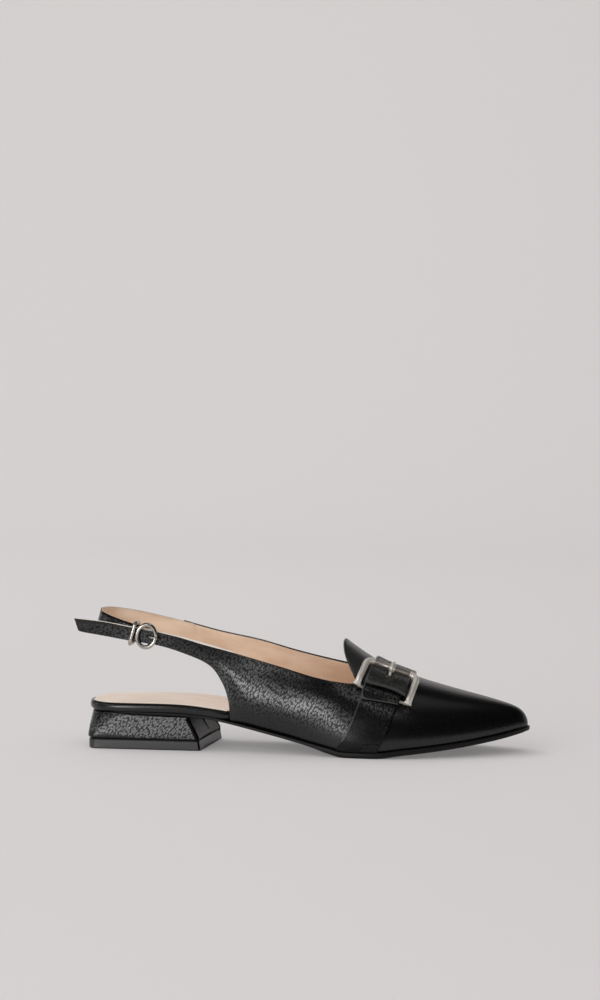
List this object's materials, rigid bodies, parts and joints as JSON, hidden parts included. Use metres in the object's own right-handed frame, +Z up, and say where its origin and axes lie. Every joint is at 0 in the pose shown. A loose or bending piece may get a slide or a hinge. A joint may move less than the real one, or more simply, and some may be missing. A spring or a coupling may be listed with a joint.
{
  "type": "flat slingback shoe",
  "caption": "Pointed flat slingback shoe for the right foot: hollow leather upper open at the heel, buckled instep band, buckled heel strap, thin sole and low block heel.",
  "frame": {"origin": "middle of the shoe's box, on the floor it stands on", "axes": "+X from the heel to the toe, +Y to the inner side of the foot, +Z up"},
  "size_m": [0.2652, 0.081, 0.0805],
  "materials": {
    "sole_leather": "satin",
    "board_leather": "satin",
    "sock_leather": "matte",
    "heel_leather": "pebbled semi-gloss",
    "lift_rubber": "satin",
    "upper_leather": "pebbled semi-gloss",
    "strap_leather": "smooth semi-gloss",
    "band_leather": "pebbled semi-gloss",
    "lining_leather": "matte",
    "buckle_metal": "polished nickel"
  },
  "bodies": {
    "root": {"outsole": "sole_leather", "insole_board": "board_leather", "insole": "sock_leather", "heel_block": "heel_leather", "heel_top_lift": "lift_rubber", "upper": "upper_leather", "sling_strap": "strap_leather", "vamp_band": "band_leather", "vamp_strap": "band_leather", "vamp_buckle_frame": "buckle_metal", "vamp_buckle_pin": "buckle_metal", "vamp_buckle_prong": "buckle_metal", "sling_buckle_frame": "buckle_metal", "sling_buckle_prong": "buckle_metal", "sling_buckle_keeper": "buckle_metal"}
  },
  "joints": []
}
